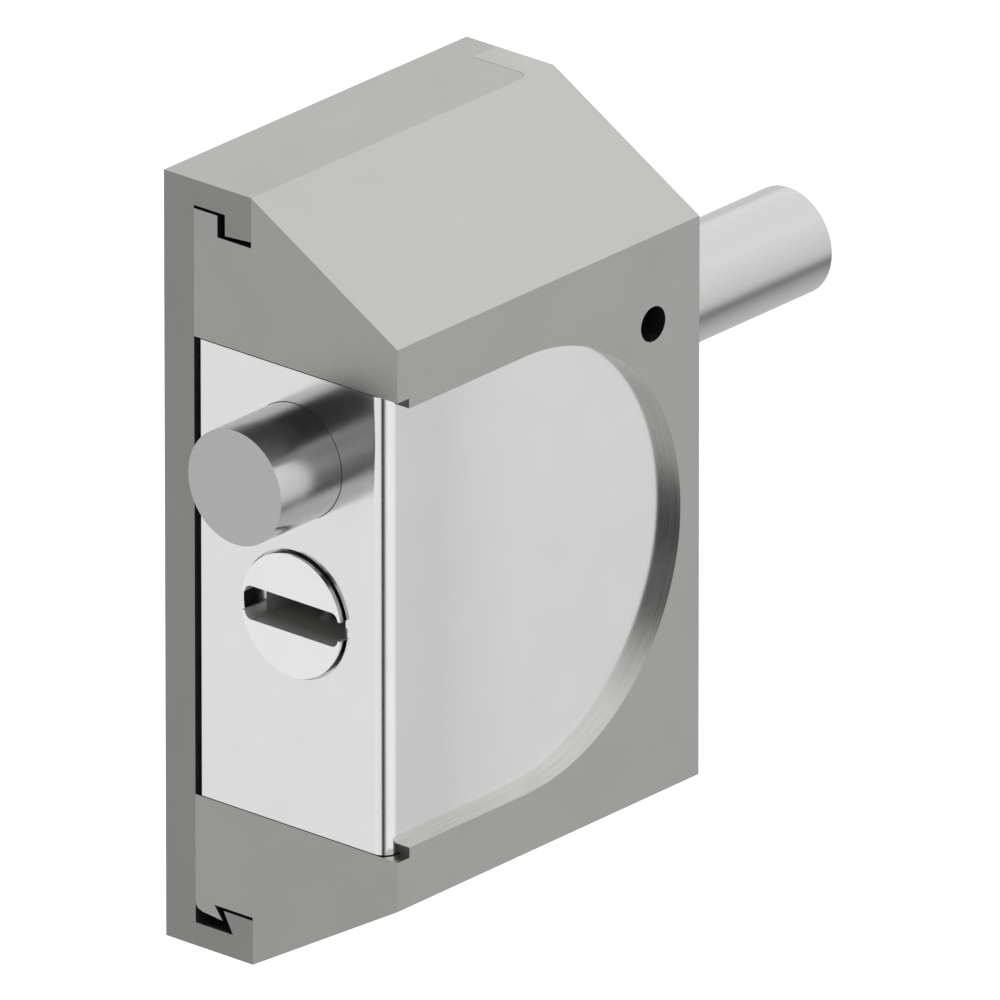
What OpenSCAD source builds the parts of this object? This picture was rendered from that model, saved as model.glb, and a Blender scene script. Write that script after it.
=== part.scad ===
// Roller shutter lock: an armoured housing slides on to a hooked back plate and holds a
// D-shaped lock block with a round sliding bolt and a flat-key cylinder.
// X runs along the bolt, to the right. The front faces -Y and Z is up.
// The origin is the centre of the back face of the plate, which lies on the shutter.

/* [Body] */
// Width of plate and housing, along the bolt
body_w = 46.7; // [46.6:0.1:70]
// Height of plate and housing
body_h = 84; // [80:0.5:120]
// Depth from the shutter to the front face
body_d = 31.1; // [30:0.1:40]
// Height of the slope above and below the front face
slope_h = 11.3; // [8:0.1:13]

/* [Back plate] */
// Thickness of the plate
plate_t = 4; // [3:0.1:5]
// Reach of both lips from the shutter
lip_reach = 11.65; // [11:0.05:14]
// Thickness of the top lip
top_lip_t = 2.8; // [2:0.1:4]
// Thickness of the bottom lip
bottom_lip_t = 2.55; // [2:0.05:3.5]
// Depth of the nib that hangs from the top lip
top_nib_l = 3.5; // [2.5:0.1:4]
// Drop of the top nib below its lip
top_nib_h = 2.3; // [1.5:0.1:3]
// Rise of the underside of the top nib towards the front
top_nib_rise = 0.25; // [0:0.05:0.5]
// Depth of the bottom nib at its root
bottom_nib_l = 2.65; // [2:0.05:3]
// Height of the bottom nib above its lip
bottom_nib_h = 2.3; // [1.8:0.1:3]
// Lean of the bottom nib over its lip, which makes the undercut
bottom_nib_lean = 1.25; // [0.5:0.05:1.5]
// Radius of the front corner at the right end of both lips
lip_corner_r = 1.5; // [0.5:0.1:2]
// Diameter of the four fixing holes
fixing_hole_d = 5.5; // [4.3:0.1:6.5]
// Diameter of the countersinks of the fixing holes
fixing_head_d = 10.4; // [8:0.1:10.8]
// Distance of the fixing holes from the top and bottom edges
fixing_edge = 9; // [8.5:0.5:10]
// Distance of the fixing holes from the left and right edges
fixing_side = 8.35; // [7:0.05:12]

/* [Housing] */
// Thickness of the end wall that closes the right ends of the lips
end_wall_t = 3.7; // [2.5:0.1:6]
// Clearance between the lip ends and the end wall
end_gap = 0.03; // [0.02:0.01:0.3]
// Play of the housing under the top lip and over the bottom nib
rail_play = 0.34; // [0.1:0.02:0.6]
// Gap between each nib and the hook of the housing behind it
hook_gap = 1; // [0.4:0.1:1.4]
// Height of the bottom hook of the housing
hook_h = 1.45; // [1:0.05:1.6]
// Forward lean of the bottom hook
hook_lean = 1.1; // [0.6:0.05:1.3]
// Rise of the underside of the bottom hook towards the plate
hook_rise = 0.35; // [0:0.05:0.5]
// Radius of the rear edge of the bottom hook
hook_round = 0.8; // [0.4:0.1:1.2]
// Thickness of the front rim that holds the block in
rim_t = 1.6; // [1.5:0.1:3]
// Overlap of the front rim over the edge of the block
rim_w = 1.1; // [0.6:0.1:2]
// Distance from the left face at which the rim starts
rim_start = 1.8; // [1:0.1:4]
// Diameter of the hole in the front face
front_hole_d = 3.8; // [3:0.1:4]
// Distance of the front hole from the left face
front_hole_x = 39.5; // [39:0.1:41]
// Height of the front hole above the bolt axis
front_hole_rise = 6.1; // [5.8:0.1:7]

/* [Lock block] */
// Radius of the round end of the block
block_r = 25; // [24:0.1:25.2]
// Length of the straight part of the block
block_straight = 19.8; // [18.5:0.1:20]
// Drop of the block axis below the middle of the housing
block_drop = 0.2; // [0:0.1:1]
// Clearance of the block in its pocket
block_gap = 0.1; // [0.05:0.05:0.2]
// Gap between the block and the plate
block_rear_gap = 0.9; // [0.3:0.1:1.2]
// Radius of the front left edge of the block
block_edge_r = 1.6; // [0.5:0.1:3]

/* [Bolt] */
// Diameter of the bolt inside the lock and at its grip
bolt_d = 12.4; // [12:0.05:12.6]
// Diameter of the nose of the bolt, outside the housing
nose_d = 11.65; // [10:0.05:11.9]
// Reach of the grip out of the left face
grip_reach = 9.3; // [6:0.1:15]
// Reach of the nose out of the right face
nose_reach = 30.2; // [20:0.1:40]
// Height of the bolt above the block axis
bolt_rise = 15.2; // [15:0.1:15.8]
// Depth of the bolt and key axes in front of the shutter
axis_depth = 17.5; // [17:0.1:18]
// Radial running clearance of the bolt and the rotor
running_gap = 0.05; // [0.02:0.01:0.08]
// Bevel at the tip of the nose
nose_bevel = 0.3; // [0.1:0.1:1]
// Diameter of the guide pin behind the bolt
guide_pin_d = 2.5; // [2:0.1:3]
// Distance of the guide pin from the left face
guide_pin_x = 10; // [9:0.5:14]
// Depth of the guide groove in the bolt
guide_groove_t = 1.4; // [1:0.1:1.8]
// Section of the rubber ring round the bolt
seal_t = 1.5; // [1:0.1:1.6]
// Distance of the rubber ring from the right face
seal_inset = 1.85; // [1.4:0.05:1.9]

/* [Key cylinder] */
// Diameter of the rotor behind its head
rotor_d = 12.8; // [12.6:0.1:13]
// Diameter of the head of the rotor
rotor_head_d = 13.3; // [13.2:0.1:13.6]
// Reach of the head out of the left face
rotor_reach = 0.7; // [0.3:0.1:1.5]
// Diameter of the mouth of the rotor bore, which takes the head
rotor_mouth_d = 13.86; // [13.7:0.02:14.2]
// Depth of the mouth, whose floor stops the head
rotor_mouth_t = 1.7; // [1.2:0.1:2]
// Length of the rotor body inside the block
rotor_l = 23.3; // [22.8:0.1:24]
// Drop of the key axis below the block axis
key_drop = 1.6; // [1:0.1:2]
// Height of the keyway
keyway_h = 3.7; // [3.2:0.1:4]
// Width of the keyway inside the rotor
keyway_w = 10.6; // [10:0.1:11]
// Width of the keyway in the head
mouth_w = 12.4; // [11:0.1:12.4]
// Corner radius of the keyway in the head
mouth_corner_r = 0.85; // [0.4:0.05:1]
// Height of the side slots that cross the rim of the head
side_slot_h = 2.1; // [1.5:0.1:2.6]
// Diameter of the key pins and driver pins
pin_d = 2.8; // [2.4:0.1:3]
// Number of pin stacks
pin_count = 5; // [3:1:5]
// Distance between pin stacks
pin_pitch = 4; // [3.6:0.1:4]
// Distance of the first pin stack from the left face
first_pin_x = 5.3; // [5.2:0.1:5.5]
// Length of the driver pins
driver_l = 4.5; // [3:0.1:6]
// Length of the plugs that close the pin chambers
plug_l = 3; // [2:0.1:4]
// Wire of the pin springs
spring_wire = 0.4; // [0.3:0.05:0.5]
// Turns of a pin spring
spring_turns = 7; // [5:1:9]
// Diameter of the two drill guard pins
guard_pin_d = 2.5; // [2:0.1:2.6]
// Length of the drill guard pins
guard_pin_l = 20; // [15:0.5:22]

/* [Latch] */
// Diameter of the tail of the rotor
tail_d = 8; // [7:0.1:9]
// Reach of the tail into the mechanism pocket
tail_out = 2; // [1.8:0.1:2.5]
// Thickness of the wall between rotor and mechanism pocket
tail_wall_t = 2; // [1.5:0.1:2.5]
// Off-centre distance of the crank pin, half of the lift of the latch
crank_r = 1.25; // [1:0.05:1.4]
// Diameter of the crank pin
crank_pin_d = 3; // [2.5:0.1:3.2]
// Width of the latch along the bolt
latch_w = 7; // [5:0.1:7.2]
// Thickness of the latch from back to front
latch_t = 14.3; // [12:0.1:14.6]
// Height of the latch
latch_h = 17.6; // [16:0.1:18]
// Sliding clearance of the latch on each side
latch_gap = 0.08; // [0.05:0.01:0.1]
// Clearance between the latch and the bolt, released
release_gap = 0.27; // [0.2:0.01:0.4]
// Thickness of the thrust washer on the tail
washer_t = 0.4; // [0.3:0.05:0.5]
// Thickness of the retaining ring on the tail
clip_t = 0.7; // [0.5:0.05:0.8]
// Thickness of the cover over the mechanism pocket
cover_t = 2; // [1.5:0.1:2.2]
// Diameter of the cover screws
cover_screw_d = 2.2; // [1.8:0.1:2.4]
// Length of the cover screws
cover_screw_l = 6; // [4:0.5:6]
// Diameter of the pin that holds the block in the housing
block_pin_d = 4; // [3:0.1:5]
// Length of the pin that holds the block in the housing
block_pin_l = 15.6; // [10:0.1:20]
// Angle of that pin below the block axis
block_pin_angle = 50; // [46:1:56]

/* [Hidden] */
$fn = 96;
over = 1;
seat_gap = 0.02;
press_gap = 0.01;
steel = "#9d9d9b";
plate_steel = "#82827f";
bright_steel = "#d8d8d6";
hard_steel = "#8f9092";
pin_brass = "#c9a85c";
rubber_black = "#202020";

left = -body_w / 2;
right = body_w / 2;
bottom = -body_h / 2;
top = body_h / 2;

block_z = -block_drop;
block_cx = left + block_straight;
pocket_r = block_r + block_gap;
window_r = pocket_r - rim_w;
block_back = plate_t + block_rear_gap;
block_front = body_d - rim_t;

bolt_z = block_z + bolt_rise;
bolt_tip = right + nose_reach;
key_z = block_z - key_drop;
bolt_bore_d = bolt_d + 2 * running_gap;
seal_x = right - seal_inset;

// The fixing pin enters the plate and ends behind the bolt
fixing_pin_x = left + front_hole_x;
fixing_pin_z = bolt_z + front_hole_rise;
fixing_pin_bite = 3;
fixing_pin_front = axis_depth - bolt_d / 2 - 0.4;

lip_end = right - end_wall_t - end_gap;
top_lip_z = top - top_lip_t;
bottom_lip_z = bottom + bottom_lip_t;
bottom_nib_z = bottom_lip_z + bottom_nib_h;

head_gap = 0.1;
head_back = left + rotor_mouth_t - head_gap;
bore_end = left + rotor_l + 0.1;
tail_space_x = bore_end + tail_wall_t;
tail_end = tail_space_x + tail_out;
washer_d = tail_d + 2.6;
washer_x = tail_space_x + 0.03;
clip_d = tail_d + 1.8;
clip_groove_d = tail_d - 1.4;
clip_x = tail_space_x + washer_t + 0.1;
tail_space_r = washer_d / 2 + 0.4;

latch_x = tail_end + 0.4;
latch_lift = 2 * crank_r;
latch_top = bolt_z - bolt_d / 2 - release_gap;
latch_bottom = latch_top - latch_h;
latch_back = block_back + cover_t + latch_gap;
notch_z = latch_top + latch_lift + 0.3;
notch_play = 0.15;
crank_z = key_z - crank_r;
crank_tip = latch_x + latch_w - 0.5;
crank_pin_seat = 3;
// The latch rises evenly and the crank pin does not, which the slot allows for
crank_slot_play = 0.212 * crank_r + 0.055;

chamber_d = pin_d + 0.1;
shear_z = key_z - rotor_d / 2;
pin_corner = rotor_d / 2 - sqrt(pow(rotor_d / 2, 2) - pow(pin_d / 2, 2));
driver_top = shear_z - running_gap - 0.06;
plug_top = block_z - block_r + 0.2 + plug_l;

// How far the cover laps over the block on each side of the mechanism
lap_left = 2.8;
lap_right = 4.4;
lap_below = 3.5;
lap_above = 3.7;
cover_left = tail_space_x - lap_left;
cover_right = latch_x + latch_w + lap_right;
cover_bottom = latch_bottom - lap_below;
cover_top = latch_top + lap_above;
cover_inset = 2.3;
cover_head_d = 2 * cover_screw_d - 0.4;
cover_head_t = (cover_head_d - cover_screw_d) / 2;

// One drill guard pin lies under the rotor, the other between rotor and bolt
guard_pin_x = left + guard_pin_d / 2 + 0.75;
guard_pin_z = [
    key_z - rotor_mouth_d / 2 - guard_pin_d / 2 - 0.8,
    (key_z + rotor_mouth_d / 2 + bolt_z - bolt_d / 2) / 2
];

block_pin_x = block_cx + (block_r + block_gap / 2) * cos(block_pin_angle);
block_pin_z = block_z - (block_r + block_gap / 2) * sin(block_pin_angle);

// Extrudes a [Y, Z] profile along X
module along_x(from, to) {
    translate([from, 0, 0])
        rotate([90, 0, 90])
            linear_extrude(to - from)
                children();
}

// Extrudes an [X, Z] profile forwards, between two depths in front of the shutter
module forwards(from, to) {
    translate([0, -from, 0])
        rotate([90, 0, 0])
            linear_extrude(to - from)
                children();
}

module rod_along_x(d, from, to, z) {
    translate([from, -axis_depth, z])
        rotate([0, 90, 0])
            cylinder(d = d, h = to - from);
}

module rod_forwards(d, x, z, from, to) {
    translate([x, -from, z])
        rotate([90, 0, 0])
            cylinder(d = d, h = to - from);
}

module box_at(x, depth, z) {
    translate([x[0], -depth[1], z[0]])
        cube([x[1] - x[0], depth[1] - depth[0], z[1] - z[0]]);
}

// The D shape of block, pocket and window: a round end and a straight run to the left
module d_shape(r, from) {
    intersection() {
        translate([block_cx, block_z])
            circle(r);
        translate([block_cx, block_z - r])
            square([r, 2 * r]);
    }
    translate([from, block_z - r])
        square([block_cx - from, 2 * r]);
}

module top_lip_profile() {
    polygon([
        [-plate_t, top_lip_z],
        [-(lip_reach - top_nib_l), top_lip_z],
        [-(lip_reach - top_nib_l), top_lip_z - top_nib_h],
        [-lip_reach, top_lip_z - top_nib_h + top_nib_rise],
        [-lip_reach, top],
        [-plate_t, top]
    ]);
}

module bottom_lip_profile() {
    polygon([
        [-plate_t, bottom],
        [-lip_reach, bottom],
        [-lip_reach, bottom_nib_z],
        [-(lip_reach - bottom_nib_l - bottom_nib_lean), bottom_nib_z],
        [-(lip_reach - bottom_nib_l), bottom_lip_z],
        [-plate_t, bottom_lip_z]
    ]);
}

// What is left of a square corner at the right end of the lips once it is rounded
module lip_corner(end) {
    difference() {
        box_at([end - lip_corner_r, end], [lip_reach - lip_corner_r, lip_reach], [bottom, top]);
        translate([end - lip_corner_r, -(lip_reach - lip_corner_r), bottom - over])
            cylinder(r = lip_corner_r, h = body_h + 2 * over);
    }
}

module fixing_hole() {
    sink = (fixing_head_d - fixing_hole_d) / 2;
    rod_forwards(fixing_hole_d, 0, 0, -over, plate_t + over);
    translate([0, -plate_t, 0])
        rotate([-90, 0, 0])
            cylinder(d1 = fixing_head_d, d2 = fixing_hole_d, h = sink);
}

module back_plate() {
    color(plate_steel)
    difference() {
        union() {
            box_at([left, right], [0, plate_t], [bottom, top]);
            along_x(left, lip_end) {
                top_lip_profile();
                bottom_lip_profile();
            }
        }
        lip_corner(lip_end);
        for (x = [left + fixing_side, right - fixing_side])
            for (z = [bottom + fixing_edge, top - fixing_edge])
                translate([x, 0, z])
                    fixing_hole();
        rod_forwards(front_hole_d, fixing_pin_x, fixing_pin_z,
            plate_t - fixing_pin_bite, plate_t + over);
    }
}

// Outline of the housing behind the lips: hooks at the back, skirts in front of the lips
module housing_profile() {
    hook_z = bottom_nib_z + rail_play;
    nib_back = lip_reach - bottom_nib_l - bottom_nib_lean;
    hook_root = nib_back - hook_gap - 0.25;
    difference() {
        polygon([
            [-plate_t, hook_z - hook_h + hook_rise],
            [-(hook_root + hook_lean), hook_z - hook_h],
            [-hook_root, hook_z],
            [-lip_reach, hook_z],
            [-lip_reach, bottom],
            [-body_d, bottom + slope_h],
            [-body_d, top - slope_h],
            [-lip_reach, top],
            [-lip_reach, top_lip_z - top_nib_h - rail_play - 0.05],
            [-(lip_reach - top_nib_l - hook_gap), top_lip_z - top_nib_h - rail_play - 0.05],
            [-(lip_reach - top_nib_l - hook_gap), top_lip_z - rail_play],
            [-plate_t, top_lip_z - rail_play]
        ]);
        translate([-plate_t, hook_z - hook_h + hook_rise])
            rear_edge_cut();
    }
}

// What is cut from the rear edge of the bottom hook to round it
module rear_edge_cut() {
    difference() {
        translate([-hook_round, -over])
            square([hook_round + over, hook_round + over]);
        translate([-hook_round, hook_round])
            circle(hook_round);
    }
}

// Outline of the end wall, which covers the ends of both lips
module end_wall_profile() {
    polygon([
        [-plate_t, bottom],
        [-lip_reach, bottom],
        [-body_d, bottom + slope_h],
        [-body_d, top - slope_h],
        [-lip_reach, top],
        [-plate_t, top]
    ]);
}

module housing() {
    color(steel)
    difference() {
        union() {
            along_x(left, right)
                housing_profile();
            along_x(right - end_wall_t, right)
                end_wall_profile();
            lip_corner(right - end_wall_t);
        }
        forwards(plate_t - over, block_front)
            d_shape(pocket_r, left - over);
        forwards(block_front - over, body_d + over)
            d_shape(window_r, left - over);
        forwards(block_front - over, body_d + over)
            translate([left - over, block_z - pocket_r])
                square([rim_start + over, 2 * pocket_r]);
        rod_along_x(bolt_bore_d, block_cx, right + over, bolt_z);
        seal_groove();
        rod_forwards(front_hole_d, fixing_pin_x, fixing_pin_z, plate_t - over, body_d + over);
        block_pin_hole();
    }
}

// Groove in the end wall for the rubber ring
module seal_groove() {
    rod_along_x(bolt_bore_d + 2 * seal_t,
        seal_x - seal_t / 2 - 0.05, seal_x + seal_t / 2 + 0.05, bolt_z);
}

module bolt_seal() {
    color(rubber_black)
    translate([seal_x, -axis_depth, bolt_z])
        rotate([0, 90, 0])
            rotate_extrude()
                translate([(bolt_bore_d + seal_t) / 2, 0])
                    circle(d = seal_t - 0.04);
}

module fixing_pin() {
    color(hard_steel)
    rod_forwards(front_hole_d - 2 * seat_gap, fixing_pin_x, fixing_pin_z,
        plate_t - fixing_pin_bite + 0.1, fixing_pin_front);
}

module block_pin_hole() {
    rod_forwards(block_pin_d, block_pin_x, block_pin_z, plate_t - over, block_back + block_pin_l);
}

module block_pin() {
    color(hard_steel)
    rod_forwards(block_pin_d - 2 * seat_gap, block_pin_x, block_pin_z,
        plate_t + 0.1, block_back + block_pin_l - 0.1);
}

// The bare block: D shape with its front left edge rounded
module block_body() {
    difference() {
        forwards(block_back, block_front)
            d_shape(block_r, left);
        difference() {
            box_at([left - over, left + block_edge_r], [block_front - block_edge_r, block_front + over],
                [bottom, top]);
            translate([left + block_edge_r, -(block_front - block_edge_r), bottom])
                cylinder(r = block_edge_r, h = body_h);
        }
    }
}

// Milled space for the tail of the rotor and the channel of the latch
module mechanism_pocket() {
    box_at([tail_space_x, latch_x], [block_back - over, axis_depth + tail_space_r],
        [key_z - tail_space_r, key_z + tail_space_r]);
    box_at([latch_x - latch_gap, latch_x + latch_w + latch_gap],
        [block_back - over, latch_back + latch_t + latch_gap],
        [latch_bottom - 0.3, latch_top + latch_lift + 0.4]);
}

// Outline of the cover and, made larger, of its recess
module cover_shape(gap) {
    translate([cover_left - gap, cover_bottom - gap])
        square([cover_right - cover_left + 2 * gap, cover_top - cover_bottom + 2 * gap]);
}

module at_cover_screws() {
    for (x = [cover_left + cover_inset, cover_right - cover_inset])
        for (z = [cover_bottom + cover_inset, cover_top - cover_inset])
            translate([x, 0, z])
                children();
}

module at_pin_stacks() {
    for (i = [0:pin_count - 1])
        translate([left + first_pin_x + i * pin_pitch, -axis_depth, 0])
            children();
}

module lock_block() {
    color(bright_steel)
    difference() {
        block_body();
        rod_along_x(bolt_bore_d, left - over, right, bolt_z);
        rod_along_x(rotor_d + 2 * running_gap, left - over, bore_end, key_z);
        rod_along_x(rotor_mouth_d, left - over, left + rotor_mouth_t, key_z);
        rod_along_x(tail_d + 2 * running_gap, bore_end - over, tail_space_x + over, key_z);
        at_pin_stacks()
            translate([0, 0, block_z - block_r - over])
                cylinder(d = chamber_d, h = key_z - (block_z - block_r - over));
        mechanism_pocket();
        forwards(block_back - over, block_back + cover_t)
            cover_shape(0.1);
        at_cover_screws()
            rod_forwards(cover_screw_d, 0, 0, block_back, block_back + cover_screw_l + 0.2);
        rod_forwards(guide_pin_d, left + guide_pin_x, bolt_z, block_back - over, axis_depth);
        for (z = guard_pin_z)
            rod_forwards(guard_pin_d, guard_pin_x, z, block_back - over, block_back + guard_pin_l);
        block_pin_hole();
    }
}

module cover_screw(gap) {
    rod_forwards(cover_screw_d + 2 * gap, 0, 0, 0, cover_screw_l);
    rotate([90, 0, 0])
        cylinder(d1 = cover_head_d + 2 * gap, d2 = cover_screw_d + 2 * gap, h = cover_head_t);
}

module block_cover() {
    color(steel)
    difference() {
        forwards(block_back, block_back + cover_t)
            cover_shape(0);
        at_cover_screws()
            translate([0, -block_back, 0])
                cover_screw(0.05);
    }
}

module cover_screws() {
    color(hard_steel)
    at_cover_screws()
        difference() {
            translate([0, -block_back, 0])
                cover_screw(-seat_gap);
            box_at([-cover_head_d, cover_head_d], [block_back - over, block_back + 0.5], [-0.3, 0.3]);
        }
}

module guide_pin() {
    color(hard_steel)
    rod_forwards(guide_pin_d - 2 * seat_gap, left + guide_pin_x, bolt_z,
        block_back + 0.3, axis_depth - bolt_d / 2 + guide_groove_t - 0.2);
}

module drill_guard_pins() {
    color(hard_steel)
    for (z = guard_pin_z)
        rod_forwards(guard_pin_d - 2 * seat_gap, guard_pin_x, z,
            block_back + 0.2, block_back + guard_pin_l - 0.1);
}

module bolt() {
    groove_w = guide_pin_d + 0.2;
    color(bright_steel)
    difference() {
        union() {
            rod_along_x(bolt_d, left - grip_reach, right, bolt_z);
            rod_along_x(nose_d, right - over, bolt_tip - nose_bevel, bolt_z);
            translate([bolt_tip - nose_bevel, -axis_depth, bolt_z])
                rotate([0, 90, 0])
                    cylinder(d1 = nose_d, d2 = nose_d - 2 * nose_bevel, h = nose_bevel);
        }
        box_at([latch_x - notch_play, latch_x + latch_w + notch_play],
            [axis_depth - bolt_d, axis_depth + bolt_d], [bolt_z - bolt_d, notch_z]);
        box_at([left + guide_pin_x - groove_w / 2, bolt_tip + over],
            [axis_depth - bolt_d, axis_depth - bolt_d / 2 + guide_groove_t],
            [bolt_z - groove_w / 2, bolt_z + groove_w / 2]);
    }
}

// Keyway in the head: its corners are rounded, and narrow slots cross the rim on both sides
module keyway_mouth() {
    corner_x = mouth_w / 2 - mouth_corner_r;
    corner_z = keyway_h / 2 - mouth_corner_r;
    slot_end = rotor_head_d / 2 + over;
    translate([-mouth_w / 2, -corner_z])
        square([mouth_w, 2 * corner_z]);
    translate([-corner_x, -keyway_h / 2])
        square([2 * corner_x, keyway_h]);
    for (x = [-corner_x, corner_x])
        for (z = [-corner_z, corner_z])
            translate([x, z])
                circle(mouth_corner_r);
    translate([-slot_end, -side_slot_h / 2])
        square([2 * slot_end, side_slot_h]);
}

module rotor() {
    color(bright_steel)
    difference() {
        union() {
            rod_along_x(rotor_head_d, left - rotor_reach, head_back, key_z);
            rod_along_x(rotor_d, left, left + rotor_l, key_z);
            rod_along_x(tail_d, left + rotor_l - over, tail_end, key_z);
        }
        translate([0, -axis_depth, key_z])
            along_x(left - rotor_reach - over, head_back)
                keyway_mouth();
        translate([0, -axis_depth, key_z])
            along_x(left - rotor_reach - over, left + rotor_l - 0.8)
                translate([-keyway_w / 2, -keyway_h / 2])
                    square([keyway_w, keyway_h]);
        at_pin_stacks()
            translate([0, 0, key_z - rotor_d / 2 - over])
                cylinder(d = pin_d + 2 * seat_gap, h = rotor_d / 2 + over);
        translate([clip_x - 0.05, -axis_depth, key_z])
            rotate([0, 90, 0])
                difference() {
                    cylinder(d = tail_d + over, h = clip_t + 0.1);
                    translate([0, 0, -over])
                        cylinder(d = clip_groove_d, h = clip_t + 3 * over);
                }
        rod_along_x(crank_pin_d, tail_end - crank_pin_seat, tail_end + over, crank_z);
    }
}

module rotor_washer() {
    color(hard_steel)
    difference() {
        rod_along_x(washer_d, washer_x, washer_x + washer_t, key_z);
        rod_along_x(tail_d + 2 * running_gap, tail_space_x - over, tail_space_x + over, key_z);
    }
}

// Open retaining ring in the groove of the tail
module rotor_clip() {
    color(hard_steel)
    difference() {
        rod_along_x(clip_d, clip_x, clip_x + clip_t, key_z);
        rod_along_x(clip_groove_d + 2 * press_gap, clip_x - over, clip_x + clip_t + over, key_z);
        box_at([clip_x - over, clip_x + clip_t + over],
            [axis_depth - clip_groove_d * 0.36, axis_depth + clip_groove_d * 0.36],
            [key_z, key_z + tail_d]);
    }
}

module crank_pin() {
    color(hard_steel)
    rod_along_x(crank_pin_d - 2 * press_gap, tail_end - crank_pin_seat + 0.1, crank_tip, crank_z);
}

// Key pins at the height to which the right key lifts them, with their tips in the keyway
module key_pins() {
    foot = key_z - rotor_d / 2 + pin_corner + 0.02;
    neck = key_z - keyway_h / 2;
    color(pin_brass)
    at_pin_stacks() {
        translate([0, 0, foot])
            cylinder(d = pin_d, h = neck - foot);
        translate([0, 0, neck])
            cylinder(d1 = pin_d, d2 = pin_d / 2.5, h = 0.8);
    }
}

module driver_pins() {
    color(pin_brass)
    at_pin_stacks()
        translate([0, 0, driver_top - driver_l])
            cylinder(d = pin_d, h = driver_l);
}

module chamber_plugs() {
    color(pin_brass)
    at_pin_stacks()
        translate([0, 0, plug_top - plug_l])
            cylinder(d = chamber_d - 2 * press_gap, h = plug_l);
}

// One point of the surface of a coil: ring i along it, corner j round the wire
function coil_point(r, rise, wire, per_turn, corners, i, j) =
    let (turn = 360 * i / per_turn, round = 360 * j / corners)
    let (reach = r + wire / 2 * cos(round))
    [reach * cos(turn), reach * sin(turn), rise * i / per_turn + wire / 2 * sin(round)];

module coil(r, height, wire, turns) {
    per_turn = 12;
    corners = 6;
    rings = per_turn * turns;
    rise = (height - wire) / turns;
    points = [
        for (i = [0:rings])
            for (j = [0:corners - 1])
                coil_point(r, rise, wire, per_turn, corners, i, j)
    ];
    sides = [
        for (i = [0:rings - 1])
            for (j = [0:corners - 1])
                let (k = (j + 1) % corners)
                [i * corners + j, i * corners + k, (i + 1) * corners + k, (i + 1) * corners + j]
    ];
    start = [for (j = [corners - 1:-1:0]) j];
    finish = [for (j = [0:corners - 1]) rings * corners + j];
    translate([0, 0, wire / 2])
        polyhedron(points, concat(sides, [start, finish]), convexity = 10);
}

module pin_springs() {
    color(hard_steel)
    at_pin_stacks()
        translate([0, 0, plug_top])
            coil(pin_d / 2 - spring_wire / 2 - 0.05, driver_top - driver_l - plug_top,
                spring_wire, spring_turns);
}

module latch() {
    slot_h = crank_pin_d + 2 * crank_slot_play;
    slot_w = crank_pin_d + 2 * crank_r + 0.6;
    color(steel)
    difference() {
        box_at([latch_x, latch_x + latch_w], [latch_back, latch_back + latch_t],
            [latch_bottom, latch_top]);
        box_at([latch_x - over, latch_x + latch_w + over],
            [axis_depth - slot_w / 2, axis_depth + slot_w / 2],
            [crank_z - slot_h / 2, crank_z + slot_h / 2]);
    }
}

back_plate();
housing();
fixing_pin();
lock_block();
block_cover();
cover_screws();
block_pin();
guide_pin();
bolt_seal();
drill_guard_pins();
driver_pins();
pin_springs();
chamber_plugs();
bolt();
rotor();
rotor_washer();
rotor_clip();
crank_pin();
key_pins();
latch();
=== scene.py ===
import math

import bpy
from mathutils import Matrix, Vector


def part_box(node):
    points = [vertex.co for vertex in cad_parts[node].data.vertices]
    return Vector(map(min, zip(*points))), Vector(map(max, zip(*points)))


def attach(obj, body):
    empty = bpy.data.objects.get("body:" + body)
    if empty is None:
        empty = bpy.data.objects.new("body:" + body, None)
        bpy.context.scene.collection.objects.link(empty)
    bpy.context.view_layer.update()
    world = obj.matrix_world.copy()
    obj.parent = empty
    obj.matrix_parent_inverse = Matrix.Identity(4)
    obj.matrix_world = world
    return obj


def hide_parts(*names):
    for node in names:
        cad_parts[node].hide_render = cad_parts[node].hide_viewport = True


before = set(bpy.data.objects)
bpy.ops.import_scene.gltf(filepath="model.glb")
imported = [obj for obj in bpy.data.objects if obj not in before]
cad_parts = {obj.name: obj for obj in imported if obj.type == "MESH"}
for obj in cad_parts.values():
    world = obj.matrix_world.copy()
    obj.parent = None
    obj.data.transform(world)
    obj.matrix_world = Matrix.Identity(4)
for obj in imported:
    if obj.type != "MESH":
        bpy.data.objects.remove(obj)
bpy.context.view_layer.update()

# Back plate
# A 4 mm steel plate, milled flat, with a hooked lip along its top and an undercut lip along its
# bottom. Four countersunk screws hold it to the shutter, and the housing slides on to the lips.
MM = 0.001
plate_low, plate_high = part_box("back_plate")
left, right = plate_low.x, plate_high.x
bottom, top = plate_low.z, plate_high.z
edge_round = 0.03 * MM
round_steps = 2
sharp_from = math.radians(35)
smooth_below = math.radians(30)
merge_within = 0.002 * MM
flat_within = math.radians(0.5)
noise_low, noise_high = 0.3, 0.7
straight_on = 0.9


def break_edges(width):
    """Breaks the sharp edges of the selected piece by a small round, as deburring leaves them."""
    piece = bpy.context.object
    bevel = piece.modifiers.new("broken_edges", "BEVEL")
    bevel.width = width
    bevel.segments = round_steps
    bevel.limit_method = "ANGLE"
    bevel.angle_limit = sharp_from
    bevel.use_clamp_overlap = True
    bevel.miter_outer = "MITER_ARC"
    bpy.ops.object.modifier_apply(modifier=bevel.name)
    bpy.ops.object.shade_smooth_by_angle(angle=smooth_below)
    normals = piece.modifiers.new("flat_faces", "WEIGHTED_NORMAL")
    normals.keep_sharp = True
    bpy.ops.object.modifier_apply(modifier=normals.name)


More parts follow.
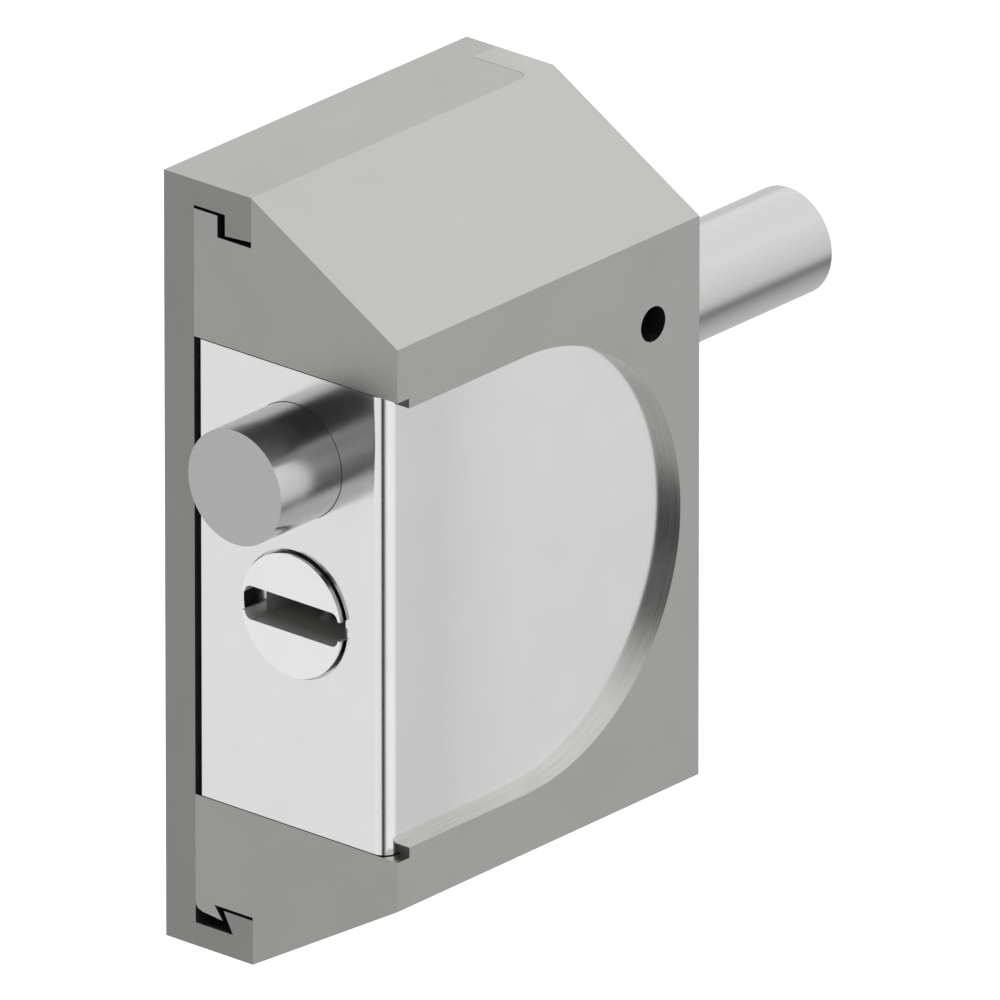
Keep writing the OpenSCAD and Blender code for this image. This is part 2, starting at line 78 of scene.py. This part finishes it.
def machined(node, name, body, width=edge_round):
    """A finished copy of a CAD node, with its loose triangles merged and its edges broken."""
    piece = bpy.data.objects.new(name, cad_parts[node].data.copy())
    bpy.context.scene.collection.objects.link(piece)
    bpy.ops.object.select_all(action="DESELECT")
    piece.select_set(True)
    bpy.context.view_layer.objects.active = piece
    bpy.ops.object.mode_set(mode="EDIT")
    bpy.ops.mesh.select_all(action="SELECT")
    bpy.ops.mesh.remove_doubles(threshold=merge_within)
    bpy.ops.mesh.dissolve_limited(angle_limit=flat_within)
    bpy.ops.object.mode_set(mode="OBJECT")
    break_edges(width)
    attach(piece, body)
    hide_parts(node)
    return piece


def dress(piece, finishes, finish_at=None):
    """Gives a piece its finishes and, where there are more than one, picks one for each face."""
    piece.data.materials.clear()
    for finish in finishes:
        piece.data.materials.append(finish)
    if finish_at:
        for face in piece.data.polygons:
            face.material_index = finishes.index(finish_at(face.center, face.normal))


def shader_of(material):
    """The shader of a finish, which holds its colour, its polish and its relief."""
    return material.node_tree.nodes["Principled BSDF"]


def metal(name, colour, roughness):
    """A bare metal of one colour and one polish, on which the marks of the tools are laid."""
    material = bpy.data.materials.new(name)
    material.use_nodes = True
    shader = shader_of(material)
    shader.inputs["Metallic"].default_value = 1.0
    shader.inputs["Base Color"].default_value = (*colour, 1)
    shader.inputs["Roughness"].default_value = roughness
    return material


def grain(material, size, squeeze=(1, 1, 1), detail=3):
    """A noise of the given size in metres, made finer along each axis by its squeeze."""
    nodes, links = material.node_tree.nodes, material.node_tree.links
    place = nodes.new("ShaderNodeTexCoord")
    mapping = nodes.new("ShaderNodeMapping")
    mapping.inputs["Scale"].default_value = [1 / (size * share) for share in squeeze]
    links.new(place.outputs["Object"], mapping.inputs["Vector"])
    noise = nodes.new("ShaderNodeTexNoise")
    noise.inputs["Scale"].default_value = 1
    noise.inputs["Detail"].default_value = detail
    links.new(mapping.outputs["Vector"], noise.inputs["Vector"])
    return noise.outputs["Fac"]


def spread(material, noise, low, high):
    """Widens the narrow band in which a noise mostly lies to the range from low to high."""
    ramp = material.node_tree.nodes.new("ShaderNodeMapRange")
    ramp.inputs["From Min"].default_value = noise_low
    ramp.inputs["From Max"].default_value = noise_high
    ramp.inputs["To Min"].default_value = low
    ramp.inputs["To Max"].default_value = high
    material.node_tree.links.new(noise, ramp.inputs["Value"])
    return ramp.outputs["Result"]


def vary_tone(material, noise, dark, light):
    """Lets a noise run the colour of a finish between a darker and a lighter share of it."""
    nodes, links = material.node_tree.nodes, material.node_tree.links
    colour = shader_of(material).inputs["Base Color"]
    mix = nodes.new("ShaderNodeMix")
    mix.data_type = "RGBA"
    mix.inputs["A"].default_value = [part * dark for part in colour.default_value[:3]] + [1]
    mix.inputs["B"].default_value = [part * light for part in colour.default_value[:3]] + [1]
    links.new(spread(material, noise, 0, 1), mix.inputs["Factor"])
    links.new(mix.outputs["Result"], colour)


def vary_polish(material, noise, swing):
    """Lets a noise run the roughness of a finish up and down by the swing."""
    roughness = shader_of(material).inputs["Roughness"]
    middle = roughness.default_value
    polish = spread(material, noise, middle - swing, middle + swing)
    material.node_tree.links.new(polish, roughness)


def cut_relief(material, height, strength, depth):
    """Turns a height into fine relief on the surface of a finish."""
    bump = material.node_tree.nodes.new("ShaderNodeBump")
    bump.inputs["Strength"].default_value = strength
    bump.inputs["Distance"].default_value = depth
    material.node_tree.links.new(height, bump.inputs["Height"])
    material.node_tree.links.new(bump.outputs["Normal"], shader_of(material).inputs["Normal"])


def satin_steel(name, grey, roughness, bareness):
    """Grey zinc-plated steel: an even satin with faint clouds and a very fine grain."""
    material = metal(name, (grey, grey, grey * 0.975), roughness)
    shader_of(material).inputs["Metallic"].default_value = bareness
    clouds = grain(material, size=9 * MM)
    vary_tone(material, clouds, dark=0.975, light=1.015)
    fine = grain(material, size=0.12 * MM, detail=2)
    vary_polish(material, fine, swing=0.03)
    cut_relief(material, fine, strength=0.12, depth=0.01 * MM)
    return material


plate_finish = satin_steel("plate_zinc", grey=0.36, roughness=0.42, bareness=1.0)
# The plate's left and right ends get a darker copy of the same zinc: painted shade on faces that
# catch less light.
plate_end_painted_shade = satin_steel("plate_zinc_end_painted_shade", grey=0.27, roughness=0.4, bareness=1.0)


def plate_finish_at(centre, normal):
    """The ends of the plate, to the left and the right, get a darker copy of its finish: painted
    shade.
    """
    return plate_end_painted_shade if abs(normal.x) > straight_on else plate_finish


plate = machined("back_plate", "back_plate_finished", "root")
dress(plate, [plate_finish, plate_end_painted_shade], plate_finish_at)

# Housing
# A block of armour steel, milled and zinc plated: sloped above and below, with a D-shaped pocket,
# a window with a rim over the lock block, and the hooks that hold it on the plate.
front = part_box("housing")[0].y
block_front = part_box("lock_block")[0].y
slope_start = 11.65 * MM
slope_height = 11.3 * MM
slope_foot = Vector((0, -slope_start, top))
slope_normal = Vector((0, -slope_height, -front - slope_start)).normalized()
on_face = 0.05 * MM
on_slope = 0.3 * MM
rim_limit = block_front + 0.1 * MM
rim_wall_limit = block_front - 0.2 * MM
rim_end_limit = left + 3 * MM
hole_x, hole_z = 16.15 * MM, 21.1 * MM
hole_reach = 2.1 * MM
pocket_wall_from, pocket_wall_to = 24.7 * MM, 25.4 * MM
half_turned = 0.5


def milled_steel(name, grey, roughness, along):
    """Steel as a milling cutter leaves it, with fine lines that run across the given axis."""
    material = metal(name, (grey, grey, grey * 0.98), roughness)
    squeeze = [0.02 if axis == along else 1 for axis in "xyz"]
    lines = grain(material, size=6 * MM, squeeze=squeeze, detail=4)
    vary_tone(material, lines, dark=0.86, light=1.1)
    vary_polish(material, lines, swing=0.05)
    cut_relief(material, lines, strength=0.25, depth=0.01 * MM)
    return material


def painted_shade_steel():
    """Near-black steel for faces inside the lock and its bores: painted shade, where little light
    reaches.
    """
    material = metal("painted_shade_steel", (0.012, 0.012, 0.012), roughness=0.6)
    shader_of(material).inputs["Metallic"].default_value = 0.0
    shader_of(material).inputs["Specular IOR Level"].default_value = 0.1
    patches = grain(material, size=0.6 * MM)
    vary_tone(material, patches, dark=0.7, light=1.3)
    vary_polish(material, patches, swing=0.1)
    return material


housing_finish = satin_steel("housing_zinc", grey=0.41, roughness=0.42, bareness=0.9)
# The housing's left and right ends get a darker, more polished copy of its zinc: painted shade.
housing_end_painted_shade = satin_steel("housing_zinc_end_painted_shade", grey=0.36, roughness=0.32, bareness=1.0)
rim_finish = milled_steel("milled_rim", grey=0.47, roughness=0.22, along="y")
# The rim's end notches get dark milled steel: painted shade for the shadow in those corners.
notch_painted_shade = milled_steel("dark_milled_painted_shade", grey=0.13, roughness=0.4, along="x")
inside_painted_shade = painted_shade_steel()


def is_outside(centre, normal):
    """Whether a face of the housing is one of its outer faces."""
    if abs(centre.x - left) < on_face or abs(centre.x - right) < on_face:
        return True
    if centre.y - front < on_face or top - abs(centre.z) < on_face:
        return True
    level = Vector((0, centre.y, abs(centre.z)))
    off_slope = abs((level - slope_foot).dot(slope_normal))
    return off_slope < on_slope and abs(normal.x) < half_turned


def housing_finish_at(centre, normal):
    """Satin outside; bright on rim and flat pocket walls; painted shade on the ends, the rim's
    end notches and inside.
    """
    sideways = abs(normal.x) > straight_on
    if is_outside(centre, normal):
        return housing_end_painted_shade if sideways else housing_finish
    if centre.y < rim_limit and centre.x < rim_end_limit and sideways:
        return notch_painted_shade
    from_hole = Vector((centre.x - hole_x, centre.z - hole_z)).length
    if centre.y < rim_wall_limit and from_hole > hole_reach:
        return rim_finish
    if pocket_wall_from < abs(centre.z) < pocket_wall_to and abs(normal.z) > straight_on:
        return rim_finish
    return inside_painted_shade


housing_finishes = [
    housing_finish, rim_finish, inside_painted_shade, notch_painted_shade, housing_end_painted_shade,
]
housing = machined("housing", "housing_finished", "root")
dress(housing, housing_finishes, housing_finish_at)

# Lock block
# A hardened steel block, D-shaped, ground and nickel plated. It slides into the pocket of the
# housing from the left, and its left face carries the bolt and the key.
bolt_low, bolt_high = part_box("bolt")
rotor_low, rotor_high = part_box("rotor")
bolt_axis = (bolt_low + bolt_high) / 2
key_axis = (rotor_low + rotor_high) / 2
bolt_bore_reach = 6.4 * MM
key_bore_reach = 7 * MM
key_bore_half_height = 3 * MM
# Painted shade on the block: a darker band along X, from about 1.7 to 13 mm off its left end.
block_painted_shade_tones = [(0, 1), (1.2, 1), (1.7, 0.9), (8.5, 0.88), (13, 0.945), (19.8, 1)]


def ground_nickel(name, grey, roughness):
    """Ground steel under nickel: bright, with faint clouds and fine level scratches."""
    material = metal(name, (grey, grey, grey * 0.995), roughness)
    clouds = grain(material, size=6 * MM)
    vary_tone(material, clouds, dark=0.985, light=1.01)
    lines = grain(material, size=0.35 * MM, squeeze=(1, 1, 0.25), detail=5)
    vary_polish(material, lines, swing=0.03)
    cut_relief(material, lines, strength=0.06, depth=0.005 * MM)
    return material


def level_ramp(tree, place, stops):
    """Reads a level off a row of stops, each of which is a place from 0 to 1 and a level."""
    ramp = tree.nodes.new("ShaderNodeValToRGB")
    marks = ramp.color_ramp.elements
    while len(marks) < len(stops):
        marks.new(0.5)
    for mark, (at, level) in zip(marks, stops):
        mark.position = at
        mark.color = (level, level, level, 1)
    tree.links.new(place, ramp.inputs["Fac"])
    return ramp.outputs["Color"]


def paint_shade_along(material, start, tones):
    """Paints shade on a finish along X, by tones at millimetres from a start."""
    tree = material.node_tree
    length = tones[-1][0]
    place = tree.nodes.new("ShaderNodeTexCoord")
    split = tree.nodes.new("ShaderNodeSeparateXYZ")
    tree.links.new(place.outputs["Object"], split.inputs["Vector"])
    run = tree.nodes.new("ShaderNodeMapRange")
    run.inputs["From Min"].default_value = start
    run.inputs["From Max"].default_value = start + length * MM
    tree.links.new(split.outputs["X"], run.inputs["Value"])
    shade = level_ramp(tree, run.outputs["Result"], [(at / length, tone) for at, tone in tones])
    product = tree.nodes.new("ShaderNodeMix")
    product.data_type = "RGBA"
    product.blend_type = "MULTIPLY"
    product.inputs["Factor"].default_value = 1
    colour = shader_of(material).inputs["Base Color"]
    tree.links.new(colour.links[0].from_socket, product.inputs["A"])
    tree.links.new(shade, product.inputs["B"])
    tree.links.new(product.outputs["Result"], colour)


def is_bore_wall(axis, reach, half_height, centre, normal):
    """Whether a face of the block is the wall of a bore, up to a height off the bore's axis."""
    out = Vector((0, centre.y - axis.y, centre.z - axis.z))
    looks_in = abs(normal.x) < half_turned and out.dot(normal) < 0
    return looks_in and out.length < reach and abs(out.z) < half_height


def block_finish_at(centre, normal):
    """Nickel all over, but painted shade, near black, in the bolt's bore, and in the key's at the
    keyway's height.
    """
    in_bolt_bore = is_bore_wall(bolt_axis, bolt_bore_reach, bolt_bore_reach, centre, normal)
    in_key_bore = is_bore_wall(key_axis, key_bore_reach, key_bore_half_height, centre, normal)
    return inside_painted_shade if in_bolt_bore or in_key_bore else block_finish


block_finish = ground_nickel("ground_nickel", grey=0.80, roughness=0.16)
paint_shade_along(block_finish, left, block_painted_shade_tones)
block = machined("lock_block", "lock_block_finished", "root")
dress(block, [block_finish, inside_painted_shade], block_finish_at)

# Small inner pieces
# Pins, screws, springs, plugs, cover, latch and rings of hardened steel, brass and rubber. They
# are pressed, screwed or laid in from the back and the underside, and the shell hides them.


def plain_steel():
    """Hardened and ground steel of pins, screws, springs and the latch."""
    material = metal("hardened_steel", (0.42, 0.42, 0.43), roughness=0.32)
    lines = grain(material, size=0.3 * MM, squeeze=(1, 1, 0.3))
    vary_polish(material, lines, swing=0.06)
    cut_relief(material, lines, strength=0.1, depth=0.01 * MM)
    return material


def turned_brass():
    """Turned brass of the pin stacks."""
    material = metal("turned_brass", (0.62, 0.44, 0.17), roughness=0.29)
    rings = grain(material, size=1 * MM, squeeze=(1, 1, 0.06))
    vary_polish(material, rings, swing=0.07)
    cut_relief(material, rings, strength=0.15, depth=0.01 * MM)
    return material


def black_rubber():
    """Moulded rubber of the sealing ring."""
    material = metal("black_rubber", (0.02, 0.02, 0.02), roughness=0.7)
    shader_of(material).inputs["Metallic"].default_value = 0.0
    skin = grain(material, size=0.2 * MM)
    vary_polish(material, skin, swing=0.1)
    cut_relief(material, skin, strength=0.2, depth=0.02 * MM)
    return material


hard_finish = plain_steel()
brass_finish = turned_brass()
rubber_finish = black_rubber()
inner_pieces = {
    "fixing_pin": hard_finish, "block_cover": housing_finish, "cover_screws": hard_finish,
    "block_pin": hard_finish, "guide_pin": hard_finish, "bolt_seal": rubber_finish,
    "drill_guard_pins": hard_finish, "driver_pins": brass_finish, "pin_springs": hard_finish,
    "chamber_plugs": brass_finish, "rotor_washer": hard_finish, "rotor_clip": hard_finish,
    "crank_pin": hard_finish, "key_pins": hard_finish, "latch": hard_finish,
}
for node, finish in inner_pieces.items():
    dress(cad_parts[node], [finish])

# Bolt
# One bar of steel, turned and polished. Its grip stands out of the left face, and its nose,
# turned a little thinner, reaches into the guide rail of the shutter.
bolt_edge_round = 0.08 * MM


def turned_steel(name, grey, roughness):
    """Turned steel, with fine rings round the bar and the long highlights that they give."""
    material = metal(name, (grey, grey, grey * 0.995), roughness)
    rings = grain(material, size=4 * MM, squeeze=(0.015, 1, 1))
    vary_polish(material, rings, swing=0.03)
    cut_relief(material, rings, strength=0.05, depth=0.005 * MM)
    round_axis = material.node_tree.nodes.new("ShaderNodeTangent")
    round_axis.direction_type = "RADIAL"
    round_axis.axis = "X"
    shader = shader_of(material)
    material.node_tree.links.new(round_axis.outputs["Tangent"], shader.inputs["Tangent"])
    shader.inputs["Anisotropic"].default_value = 0.7
    shader.inputs["Anisotropic Rotation"].default_value = 0.25
    return material


bolt_finish = turned_steel("turned_bolt", grey=0.458, roughness=0.2)
bolt = machined("bolt", "bolt_finished", "sliding_bolt", bolt_edge_round)
dress(bolt, [bolt_finish])

# Key rotor
# The turned steel plug that the key turns, nickel plated, with its keyway milled through the
# face. The keyway is wider in the head, and a slot crosses the head's rim at either end of it.
inwards = 0.01 * MM
rotor_finish = turned_steel("turned_rotor", grey=0.873, roughness=0.16)
keyway_finish = milled_steel("milled_keyway", grey=0.4, roughness=0.5, along="x")
shader_of(keyway_finish).inputs["Metallic"].default_value = 0.3


def rotor_finish_at(centre, normal):
    """The rotor is bright, and its faces that look towards its axis are milled."""
    out = Vector((0, centre.y - key_axis.y, centre.z - key_axis.z))
    return keyway_finish if out.dot(normal) < -inwards else rotor_finish


rotor = machined("rotor", "rotor_finished", "key_rotor")
dress(rotor, [rotor_finish, keyway_finish], rotor_finish_at)

# Floor
# A plain pale floor well below the lock, which hangs on its shutter. The camera sees it a little
# brighter than it is lit, and reflections pass through it to the light of the studio.
floor_size = 6
floor_drop = 0.3
floor_glow = 0.35
bpy.ops.object.select_all(action="DESELECT")
bpy.ops.mesh.primitive_plane_add(size=floor_size, location=(0, 0, bottom - floor_drop))
floor = bpy.context.object
floor.name = "floor"


def by_ray(tree, kind, usual, special):
    """A surface or sky that is a special one to one kind of ray, and the usual one to others."""
    ray = tree.nodes.new("ShaderNodeLightPath")
    mix = tree.nodes.new("ShaderNodeMixShader")
    tree.links.new(ray.outputs[kind], mix.inputs["Fac"])
    tree.links.new(usual, mix.inputs[1])
    tree.links.new(special, mix.inputs[2])
    return mix.outputs["Shader"]


floor_paint = bpy.data.materials.new("floor_paint")
floor_paint.use_nodes = True
floor_tree = floor_paint.node_tree
paint = floor_tree.nodes["Principled BSDF"]
paint.inputs["Base Color"].default_value = (0.9, 0.9, 0.9, 1)
paint.inputs["Roughness"].default_value = 0.9
paint.inputs["Specular IOR Level"].default_value = 0
glow = floor_tree.nodes.new("ShaderNodeEmission")
glow.inputs["Strength"].default_value = floor_glow
bright = floor_tree.nodes.new("ShaderNodeAddShader")
floor_tree.links.new(paint.outputs["BSDF"], bright.inputs[0])
floor_tree.links.new(glow.outputs["Emission"], bright.inputs[1])
clear = floor_tree.nodes.new("ShaderNodeBsdfTransparent")
seen = by_ray(floor_tree, "Is Camera Ray", paint.outputs["BSDF"], bright.outputs["Shader"])
passed = by_ray(floor_tree, "Is Glossy Ray", seen, clear.outputs["BSDF"])
floor_tree.links.new(passed, floor_tree.nodes["Material Output"].inputs["Surface"])
floor.data.materials.append(floor_paint)

# Light
# A soft studio without lamps. Rings of light and shade stand round the bolt's axis, one each for
# the far left, the left, the middle and the right, and each passes softly into the next.
brightest = 2
studio = bpy.data.worlds.new("studio")
bpy.context.scene.world = studio
studio.use_nodes = True
sky = studio.node_tree


def sky_math(operation, first, second):
    """One step of arithmetic on the direction of the sky."""
    node = sky.nodes.new("ShaderNodeMath")
    node.operation = operation
    for socket, value in zip(node.inputs, (first, second)):
        if isinstance(value, (int, float)):
            socket.default_value = value
        else:
            sky.links.new(value, socket)
    return node.outputs["Value"]


def light_ring(angle, stops):
    """A ring's levels by degrees above the front, as shares of the brightest that it can hold."""
    return level_ramp(sky, angle, [
        ((degrees + 180) / 360, level / brightest) for degrees, level in stops
    ])


def blend(first, second, place, start, stop):
    """Goes softly from one ring to the next, as the place runs from start to stop."""
    run = sky.nodes.new("ShaderNodeMapRange")
    run.interpolation_type = "SMOOTHSTEP"
    run.inputs["From Min"].default_value = start
    run.inputs["From Max"].default_value = stop
    sky.links.new(place, run.inputs["Value"])
    mix = sky.nodes.new("ShaderNodeMix")
    mix.data_type = "RGBA"
    sky.links.new(run.outputs["Result"], mix.inputs["Factor"])
    sky.links.new(first, mix.inputs["A"])
    sky.links.new(second, mix.inputs["B"])
    return mix.outputs["Result"]


direction = sky.nodes.new("ShaderNodeTexCoord")
split = sky.nodes.new("ShaderNodeSeparateXYZ")
sky.links.new(direction.outputs["Generated"], split.inputs["Vector"])
across, away, up = split.outputs["X"], split.outputs["Y"], split.outputs["Z"]
turn = sky_math("ARCTAN2", up, sky_math("MULTIPLY", away, -1))
angle = sky_math("ADD", sky_math("DIVIDE", turn, 2 * math.pi), 0.5)
right_ring = light_ring(angle, [
    (-180, 0.93), (-128, 0.75), (-93, 0.81), (-82, 0.79), (-70, 0.68), (-59, 0.55), (-49, 0.32),
    (-43, 0.35), (-39, 0.45), (-36, 0.67), (-32, 0.85), (-24, 1.13), (-14, 1.20), (0, 1.28),
    (16, 1.36), (38, 1.42), (140, 1.43), (149, 1.38), (157, 1.02), (172, 0.93), (180, 0.93),
])
middle_ring = light_ring(angle, [
    (-180, 0.93), (-128, 0.75), (-93, 0.81), (-70, 0.77), (-46, 0.80), (-34, 0.92), (-24, 1.01),
    (-14, 1.05), (16, 1.08), (36, 1.32), (44, 1.50), (52, 1.66), (62, 1.54), (74, 1.40),
    (140, 1.36), (157, 1.02), (172, 0.93), (180, 0.93),
])
left_ring = light_ring(angle, [
    (-180, 0.93), (-147, 0.935), (-120, 1.0), (-62, 1.0), (-50, 0.70), (-44, 0.0), (131, 0.0),
    (149, 0.95), (180, 0.98),
])
far_left_ring = light_ring(angle, [(-180, 0.9), (180, 0.9)])
# This ring isn't light: its share of the brightest is how far the left ring reaches to the right
left_reach = light_ring(angle, [
    (-180, 0.2), (-75, 0.2), (-56, 0.76), (-51, 0.76), (-45, 0.43), (-32, 0.27), (-14, 0.22),
    (0, 0.1), (14, 0.1), (26, 0.2), (46, 0.2), (62, 0.8), (131, 0.8), (152, 0.2), (180, 0.2),
])
past_left = sky_math("SUBTRACT", across, left_reach)
rings = blend(middle_ring, right_ring, across, start=0.5, stop=0.68)
rings = blend(left_ring, rings, past_left, start=-0.95, stop=-0.50)
rings = blend(far_left_ring, rings, across, start=-0.95, stop=-0.84)
soft_light = sky.nodes["Background"]
soft_light.inputs["Strength"].default_value = brightest
sky.links.new(rings, soft_light.inputs["Color"])
white = sky.nodes.new("ShaderNodeBackground")
white.inputs["Color"].default_value = (1, 1, 1, 1)
backdrop = by_ray(sky, "Is Camera Ray", soft_light.outputs["Background"],
                  white.outputs["Background"])
sky.links.new(backdrop, sky.nodes["World Output"].inputs["Surface"])

# Camera
# A very long lens far to the front left and a little above, which keeps the parallel edges of the
# lock nearly parallel, as the photograph has them.
picture_pixels = 1000
pixel = 0.10136 * MM
azimuth, elevation = math.radians(-49.27), math.radians(22.83)
backwards = Vector((math.sin(azimuth) * math.cos(elevation),
                    -math.cos(azimuth) * math.cos(elevation),
                    math.sin(elevation)))
looked_at = Vector((10.58, -15.47, -0.7)) * MM
lens = bpy.data.cameras.new("long_lens")
lens.lens = 1600
lens.sensor_width = 36
lens.clip_start, lens.clip_end = 0.1, 50
distance = picture_pixels * pixel * lens.lens / lens.sensor_width
camera = bpy.data.objects.new("camera", lens)
bpy.context.scene.collection.objects.link(camera)
camera.rotation_mode = "QUATERNION"
camera.rotation_quaternion = (-backwards).to_track_quat("-Z", "Y")
camera.location = looked_at + backwards * distance
bpy.context.scene.camera = camera
bpy.context.scene.view_settings.view_transform = "Standard"
